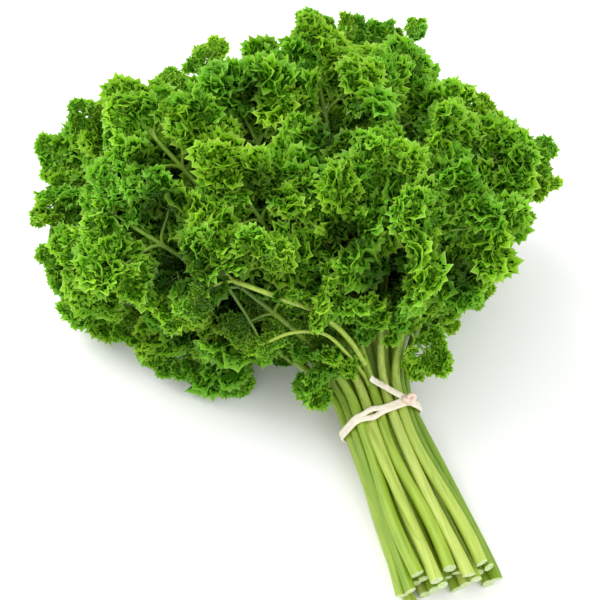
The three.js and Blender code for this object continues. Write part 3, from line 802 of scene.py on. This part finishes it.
for stem in stems:
    draws = stem["draws"]
    row = stem["row"]
    upper = stem["upper"]
    fork = STALK_END[row]
    head = HEAD_ROWS[row]
    pitch = np.linalg.norm(stem["end"]) * math.radians(head["right"] - head["left"]) / (STALK_ROWS[row] - 1)
    tips = [(bezier(upper, RIB_END - 0.02), stem["end"], END_LEAF, heading(upper, RIB_END))]
    for pair in PAIRS:
        if row not in pair["rows"] or stem["place"] not in pair.get("places", range(7)):
            continue
        root = bezier(upper, pair["at"])
        forward = heading(upper, pair["at"])
        out = outward(root)
        side = unit(np.cross(forward, out))
        half = min(pair["longest"], pair["spread"] * pitch * pair["at"])
        for hand in (-1, 1):
            ahead = BRANCH_AHEAD + BRANCH_JITTER * around(draws)
            rise = BRANCH_RISE + BRANCH_JITTER * around(draws)
            tip = root + side * (hand * half) + forward * ahead + out * rise
            tips.append((root, tip, pair["leaf"], forward))
    t = np.linspace(fork, RIB_END, RIB_STEPS)
    rib_radii = mix(FORK_RADIUS, RIB_RADIUS, np.linspace(0, 1, RIB_STEPS))
    rib_tips = np.linspace(0.6, 0.85, RIB_STEPS)
    rng = np.random.default_rng(stem["number"])
    midrib = tube(bezier(upper, t), rib_radii, RIB_SIDES, RIDGE_DEPTH, 0.5, rib_tips)
    # the midrib's painted shade fades in over its first quarter from the fork
    from_fork = np.clip(np.linspace(0, 4, RIB_STEPS), 0, 1)
    midrib["deep"] = painted_shade_amount(midrib["points"]) * np.repeat(from_fork, RIB_SIDES)
    parts = [midrib]
    fans = []
    twigs = []
    for leaf_number, (root, tip, size, rib) in enumerate(tips):
        size = size * YOUNG.get((stem["number"] + 1, leaf_number), 1)
        branch = unit(tip - root)
        out = outward(tip)
        side = unit(np.cross(out, branch))
        face = np.cross(branch, side)
        roll = LEAF_ROLL * around(draws)
        side, face = (
            side * math.cos(roll) + face * math.sin(roll),
            face * math.cos(roll) - side * math.sin(roll),
        )
        lifts = [LEAFLET_LIFT + LIFT_JITTER * around(draws) for leaflet in range(3)]
        # the solid model draws its teeth here, so these draws keep both in step
        next(draws)
        for tooth in range(TEETH):
            around(draws)
        end = tip + NECK * branch
        length = np.linalg.norm(end - root)
        corners = (root, root + rib * 0.35 * length, end - branch * 0.35 * length, end)
        parts.append(grow_branch(corners))
        leaf, stalklets = leaf_fans(end, branch, side, face, lifts, size, rng, row == 0)
        fans += leaf
        twigs += stalklets
    for filler in FILLERS:
        if row not in filler["rows"]:
            continue
        root = bezier(upper, filler["at"])
        rib = heading(upper, filler["at"])
        out = outward(root)
        hand = 1 if (stem["number"] + len(fans)) % 2 else -1  # now to one side, now to the other
        wing = unit(np.cross(rib, out)) * hand
        branch = unit(wing + 0.5 * rib + 0.1 * out)
        end = root + branch * FILLER_BRANCH
        side = unit(np.cross(out, branch))
        face = np.cross(branch, side)
        twigs.append((root[None], end[None]))
        lifts = rng.uniform(0, 0.5, 3)
        leaf, stalklets = leaf_fans(end, branch, side, face, lifts, filler["leaf"], rng)
        fans += leaf
        twigs += stalklets
    for sprig in SPRIGS:
        if sprig["stem"] != stem["number"] + 1:
            continue
        root = bezier(upper, sprig["at"])
        tip = np.array(sprig["tip"], float)
        rib = heading(upper, sprig["at"])
        far = np.linalg.norm(tip - root)
        branch = unit(unit(tip - root) + 0.3 * rib)
        out = unit(outward(tip) + UP)
        side = unit(np.cross(out, branch))
        face = np.cross(branch, side)
        if far < SPRIG_REACH:
            corners = (root, root + rib * 0.3 * far, tip - branch * 0.35 * far, tip)
            parts.append(grow_branch(corners))
        lifts = rng.uniform(0, 0.6, 3)
        leaf, stalklets = leaf_fans(tip, branch, side, face, lifts, sprig["leaf"], rng)
        fans += leaf
        twigs += stalklets
    for bare in BARE_STEMS:
        if bare["stem"] != stem["number"] + 1:
            continue
        line = smooth_line(bare["line"], 8)
        count = len(line)
        thick = mix(bare["thick"], bare["thick"] * 0.8, np.linspace(0, 1, count))
        parts.append(tube(line, thick, RIB_SIDES, RIDGE_DEPTH, 0.7, np.full(count, 0.55)))
    merged = [np.concatenate(values) for values in zip(*fans)]
    kept = (in_hollow(merged[0], "bare") <= 0) | (merged[0][:, 2] < HOLLOW_FLOOR)
    parts.append(grow_fans(*[values[kept] for values in merged], rng))
    starts, ends = [np.concatenate(values) for values in zip(*twigs)]
    kept = (in_hollow(ends, "bare") <= 0) | (ends[:, 2] < HOLLOW_FLOOR)
    parts.append(grow_twigs(starts[kept], ends[kept], TWIG_RADIUS))
    number = f"{stem['number'] + 1:02d}"
    piece = make_piece(f"parsley_frond_{number}", parts, [stalk_skin, leaf_blade])
    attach(piece, "root")
    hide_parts(f"frond_{number}")

# Rubber band
# A cream rubber band in two turns round the stalks, which part on top, with a knot and one loose end.
BAND_Y = -5
BAND_WIDE = 2.3
BAND_THICK = 1.3
BAND_GAP = 0.5
BAND_PART = 1.75
BAND_MEET = 0.7
BAND_SLANT = math.radians(5)
BAND_REACH = 6
BAND_STEPS = 140
LOOP_POINTS = 721
SLIT_X = -4
SLIT_HALF = 3.2
KNOT_SIZE = np.array([3.4, 2.8, 2.4])
KNOT_RISE = 1.2
KNOT_TURN = math.radians(52)
KNOT_STEPS = 72
KNOT_CORD = 1.15
KNOT_SIDES = 12
TAIL = np.array([-13, 12, 0])
TAIL_WIDE = 2.6
TAIL_STEPS = 24
STRIP_SIDES = 16
EDGE_ROUND = 0.6

on_stalks = []
for stem in stems:
    on_stalks.append(bezier(stem["lower"], np.arange(41) / 40))
    on_stalks.append(bezier(stem["upper"], np.arange(81) / 80))
on_stalks = np.concatenate(on_stalks)
held = on_stalks[np.abs(on_stalks[:, 1] - BAND_Y) < BAND_REACH]
near_knot = on_stalks[np.abs(on_stalks[:, 1]) < BAND_REACH + TAIL[1]]


def band_inner(turn):
    ray = np.array([math.cos(turn), 0, math.sin(turn)])
    level = held * [1, 0, 1] - held[:, 1:2] * math.tan(LEAN) * UP
    hold = level[np.argmax(level @ ray)]
    return hold + ray * (TIE_RADIUS + BAND_GAP), ray


def band_loop():
    # the band's course round the stalks, in equal steps, with its outward directions
    turns = np.linspace(0, 2 * np.pi, LOOP_POINTS)
    loop = [band_inner(turn) for turn in turns]
    inners = np.array([inner for inner, ray in loop])
    rays = np.array([ray for inner, ray in loop])
    steps = np.linalg.norm(np.diff(inners, axis=0), axis=1) + 1e-6
    run = np.concatenate([[0], np.cumsum(steps)])
    even = np.linspace(0, run[-1], BAND_STEPS, endpoint=False)
    inners = np.stack([np.interp(even, run, inners[:, k]) for k in range(3)], -1)
    rays = np.stack([np.interp(even, run, rays[:, k]) for k in range(3)], -1)
    return inners, unit(rays)


def slid(point, y):
    return np.array([point[0], y, point[2] + y * math.tan(LEAN)])


def strip(middles, outs, sides, wide, thick, closed):
    # a flat strip with rounded edges through middle points, with its outward and sideways directions
    turn = 2 * np.pi * np.arange(STRIP_SIDES) / STRIP_SIDES
    a = np.sign(np.cos(turn)) * np.abs(np.cos(turn)) ** EDGE_ROUND * wide / 2
    b = np.sign(np.sin(turn)) * np.abs(np.sin(turn)) ** EDGE_ROUND * thick / 2
    points = middles[:, None] + sides[:, None] * a[:, None] + outs[:, None] * b[:, None]
    rows = len(middles)
    faces, uv = grid_faces(STRIP_SIDES, rows if closed else rows - 1, True)
    count = STRIP_SIDES * rows
    faces = faces % count
    return {
        "points": points.reshape(-1, 3),
        "faces": [faces],
        "uv": [uv[None]],
        "tip": np.zeros(count),
        "tone": np.zeros(count),
        "deep": np.zeros(count),
        "slot": 0,
    }


rubber, nodes, links = new_material("cream_rubber")
shader = nodes["Principled BSDF"]
place = nodes.new("ShaderNodeTexCoord")
chalk = nodes.new("ShaderNodeTexNoise")
chalk.inputs["Scale"].default_value = 500
links.new(place.outputs["Object"], chalk.inputs["Vector"])
cream = color_ramp(nodes, [(0.3, (0.79, 0.7, 0.55)), (0.7, (0.88, 0.82, 0.69))])
links.new(chalk.outputs["Fac"], cream.inputs["Fac"])
flush = nodes.new("ShaderNodeMix")
flush.data_type = "RGBA"
flush.inputs[7].default_value = (0.86, 0.6, 0.52, 1)
links.new(attribute(nodes, "tip"), flush.inputs["Factor"])
links.new(cream.outputs["Color"], flush.inputs[6])
links.new(flush.outputs[2], shader.inputs["Base Color"])
shader.inputs["Roughness"].default_value = 0.55

parts = []
for hand in (-1, 1):
    middles, outs = [], []
    for inner, ray in zip(*band_loop()):
        parted = math.exp(-(((inner[0] - SLIT_X) / SLIT_HALF) ** 2)) * (ray[2] > 0)
        apart = mix(BAND_MEET, BAND_PART, parted)
        y = BAND_Y + hand * apart + inner[0] * math.tan(BAND_SLANT)
        middles.append(slid(inner + ray * BAND_THICK / 2, y))
        outs.append(ray)
    sides = np.tile(unit([0, 1, math.tan(LEAN)]), (BAND_STEPS, 1))
    parts.append(strip(np.array(middles), np.array(outs), sides, BAND_WIDE, BAND_THICK, True))
inner, ray = band_inner(KNOT_TURN)
knot_spot = slid(inner + ray * BAND_THICK, BAND_Y + inner[0] * math.tan(BAND_SLANT))
t = np.linspace(0, 2 * np.pi, KNOT_STEPS + 1)[:-1]
trefoil = np.stack([np.sin(t) + 2 * np.sin(2 * t), np.cos(t) - 2 * np.cos(2 * t), -np.sin(3 * t)], -1)
trefoil = trefoil / 3 * (KNOT_SIZE - 1.0) + knot_spot + UP * KNOT_RISE
trefoil = np.concatenate([trefoil, trefoil[:1]])
count = KNOT_STEPS + 1
parts.append(tube(trefoil, np.full(count, KNOT_CORD), KNOT_SIDES, tips=np.full(count, 0.7)))
line = []
for share in np.linspace(0, 1, TAIL_STEPS):
    spot = knot_spot + TAIL * share
    flat = np.hypot(near_knot[:, 0] - spot[0], near_knot[:, 1] - spot[1])
    under = near_knot[flat < 2 * TIE_RADIUS]
    top = max([spot[2]] + list(under[:, 2] + TIE_RADIUS + BAND_GAP))
    line.append([spot[0], spot[1], top + BAND_THICK / 2])
line = np.array(line)
sides = np.tile(unit([-TAIL[1], TAIL[0], 0]), (TAIL_STEPS, 1))
outs = np.tile(UP, (TAIL_STEPS, 1))
parts.append(strip(line, outs, sides, TAIL_WIDE, BAND_THICK, False))
band = make_piece("tie_band", parts, [rubber])
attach(band, "root")
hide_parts("rubber_band")

# Table, light and camera
# A pale table under soft studio light: a large lamp above, on the left beyond the head, and a weaker one on
# the near right. The camera looks down from the stalks' side. None of it belongs to the bunch.
TABLE = 12.0
table = bpy.data.meshes.new("table")
corners = [(-TABLE, -TABLE, 0), (TABLE, -TABLE, 0), (TABLE, TABLE, 0), (-TABLE, TABLE, 0)]
table.from_pydata(corners, [], [(0, 1, 2, 3)])
floor = bpy.data.objects.new("table", table)
bpy.context.scene.collection.objects.link(floor)
pale, nodes, links = new_material("pale_table")
nodes["Principled BSDF"].inputs["Base Color"].default_value = (0.9, 0.9, 0.9, 1)
nodes["Principled BSDF"].inputs["Roughness"].default_value = 0.8
table.materials.append(pale)

world = bpy.data.worlds.new("studio")
world.use_nodes = True
world.node_tree.nodes["Background"].inputs["Color"].default_value = (1, 1, 1, 1)
world.node_tree.nodes["Background"].inputs["Strength"].default_value = 1.12
bpy.context.scene.world = world


def add_lamp(name, spot, aim, size, power):
    lamp = bpy.data.lights.new(name, "AREA")
    lamp.size = size
    lamp.energy = power
    holder = bpy.data.objects.new(name, lamp)
    holder.location = spot
    holder.rotation_euler = (Vector(aim) - Vector(spot)).to_track_quat("-Z", "Y").to_euler()
    bpy.context.scene.collection.objects.link(holder)


add_lamp("key_lamp", (-0.5, 0.7, 0.9), (0, 0, 0.05), 0.9, 13)
add_lamp("fill_lamp", (0.6, -0.7, 0.9), (0, 0, 0.05), 0.8, 4)

PIXELS = 600
SCALE = 2.4
AZIMUTH = math.radians(16.5)
ELEVATION = math.radians(60)
DISTANCE = 700
ANCHOR = np.array([0, 0, 17])
ANCHOR_PIXEL = (377, 408)
toward = np.array([math.sin(AZIMUTH), math.cos(AZIMUTH), 0])
right = np.array([math.cos(AZIMUTH), -math.sin(AZIMUTH), 0])
look = toward * math.cos(ELEVATION) - UP * math.sin(ELEVATION)
above = toward * math.sin(ELEVATION) + UP * math.cos(ELEVATION)
aim = ANCHOR + right * (PIXELS / 2 - ANCHOR_PIXEL[0]) / SCALE + above * (ANCHOR_PIXEL[1] - PIXELS / 2) / SCALE
camera = bpy.data.objects.new("camera", bpy.data.cameras.new("camera"))
camera.data.angle = 2 * math.atan(PIXELS / 2 / SCALE / DISTANCE)
camera.location = (aim - DISTANCE * look + ORIGIN_SHIFT) * MM
camera.rotation_euler = (math.pi / 2 - ELEVATION, 0, -AZIMUTH)
bpy.context.scene.collection.objects.link(camera)
bpy.context.scene.camera = camera
bpy.context.scene.view_settings.view_transform = "Standard"
